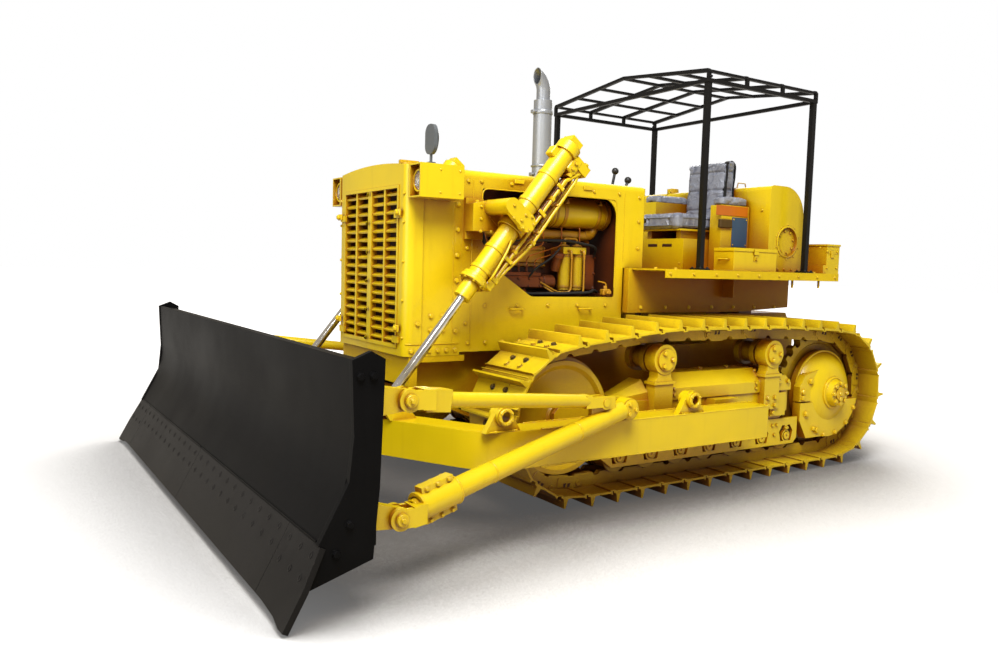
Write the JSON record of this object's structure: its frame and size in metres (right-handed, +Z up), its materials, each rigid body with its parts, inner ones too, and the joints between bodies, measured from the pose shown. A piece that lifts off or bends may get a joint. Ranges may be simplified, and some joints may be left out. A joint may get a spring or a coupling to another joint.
{
  "type": "crawler bulldozer",
  "caption": "Crawler bulldozer with an angle blade on a C-frame, two hydraulic lift cylinders, slatted radiator guard, open canopy and rear fuel tank.",
  "frame": {"origin": "on the ground under the middle of the machine's box", "axes": "+X forward to the blade, +Y to the machine's left, +Z up"},
  "size_m": [5.5244, 4.224, 3.11],
  "materials": {
    "yellow_paint": "glossy chrome-yellow enamel",
    "track_steel": "yellow enamel over cast and rolled steel",
    "black_paint": "semi-matt black enamel",
    "edge_steel": "black-painted hardened steel",
    "canopy_black": "black enamel",
    "chrome": "hard chrome",
    "engine_iron": "painted cast iron in shade",
    "core_black": "matt black",
    "exhaust_steel": "silver-grey heat paint",
    "grey_plastic": "matt grey shell",
    "lever_steel": "painted rod with black knob",
    "seat_cover": "grey vinyl under clear film"
  },
  "bodies": {
    "root": {"track_left": "track_steel", "track_right": "track_steel", "sprockets": "track_steel", "idlers": "yellow_paint", "track_rollers": "track_steel", "carrier_rollers": "track_steel", "track_frame_left": "yellow_paint", "track_frame_right": "yellow_paint", "final_drives": "yellow_paint", "cylinder_yokes": "yellow_paint", "main_frame": "yellow_paint", "drawbar": "yellow_paint", "engine_block": "engine_iron", "engine_filters": "yellow_paint", "air_cleaner": "yellow_paint", "radiator_guard": "yellow_paint", "radiator_core": "core_black", "grille": "yellow_paint", "headlights": "yellow_paint", "mirror": "grey_plastic", "hood": "yellow_paint", "exhaust_pipe": "exhaust_steel", "dashboard": "yellow_paint", "floor_platform": "yellow_paint", "fender_left": "yellow_paint", "fender_right": "yellow_paint", "fuel_tank": "yellow_paint", "rear_boxes": "yellow_paint", "seat_base": "yellow_paint", "seat_cushion": "seat_cover", "seat_back": "seat_cover", "consoles": "yellow_paint", "armrest_pads": "seat_cover", "control_levers": "lever_steel", "toolbox": "yellow_paint", "canopy_posts": "canopy_black", "canopy_roof": "canopy_black"},
    "blade_assembly": {"c_frame": "yellow_paint", "blade": "black_paint", "cutting_edges": "edge_steel", "blade_lugs": "yellow_paint", "lower_braces": "yellow_paint", "upper_braces": "yellow_paint"},
    "barrel_left": {"lift_cylinder_left": "yellow_paint"},
    "barrel_right": {"lift_cylinder_right": "yellow_paint"},
    "rod_left": {"lift_rod_left": "chrome"},
    "rod_right": {"lift_rod_right": "chrome"},
    "lid": {"toolbox_lid": "yellow_paint"}
  },
  "joints": [
    {"name": "blade_lift", "type": "hinge", "parent": "root", "child": "blade_assembly", "pos_m": [-0.84218, 0, 0.5], "axis": [0, -1, 0], "range_deg": [-7, 16]},
    {"name": "lift_cylinder_left_swing", "type": "hinge", "parent": "root", "child": "barrel_left", "pos_m": [0.80282, 0.79, 1.818], "axis": [0, -1, 0], "range_deg": [-8.3, 18.6]},
    {"name": "lift_rod_left_slide", "type": "slide", "parent": "barrel_left", "child": "rod_left", "axis": [0.6248, 0, -0.7808], "range_m": [-0.585, 0.257]},
    {"name": "lift_cylinder_right_swing", "type": "hinge", "parent": "root", "child": "barrel_right", "pos_m": [0.80282, -0.79, 1.818], "axis": [0, -1, 0], "range_deg": [-8.3, 18.6]},
    {"name": "lift_rod_right_slide", "type": "slide", "parent": "barrel_right", "child": "rod_right", "axis": [0.6248, 0, -0.7808], "range_m": [-0.585, 0.257]},
    {"name": "toolbox_lid_hinge", "type": "hinge", "parent": "root", "child": "lid", "pos_m": [-1.38218, 0.69, 1.726], "axis": [1, 0, 0], "range_deg": [0, 100]}
  ],
  "couplings": [
    {"joint": "lift_cylinder_left_swing", "follows": "blade_lift", "ratio": 1.15},
    {"joint": "lift_rod_left_slide", "follows": "blade_lift", "m_per_rad": -2.0856},
    {"joint": "lift_cylinder_right_swing", "follows": "blade_lift", "ratio": 1.15},
    {"joint": "lift_rod_right_slide", "follows": "blade_lift", "m_per_rad": -2.0856}
  ]
}
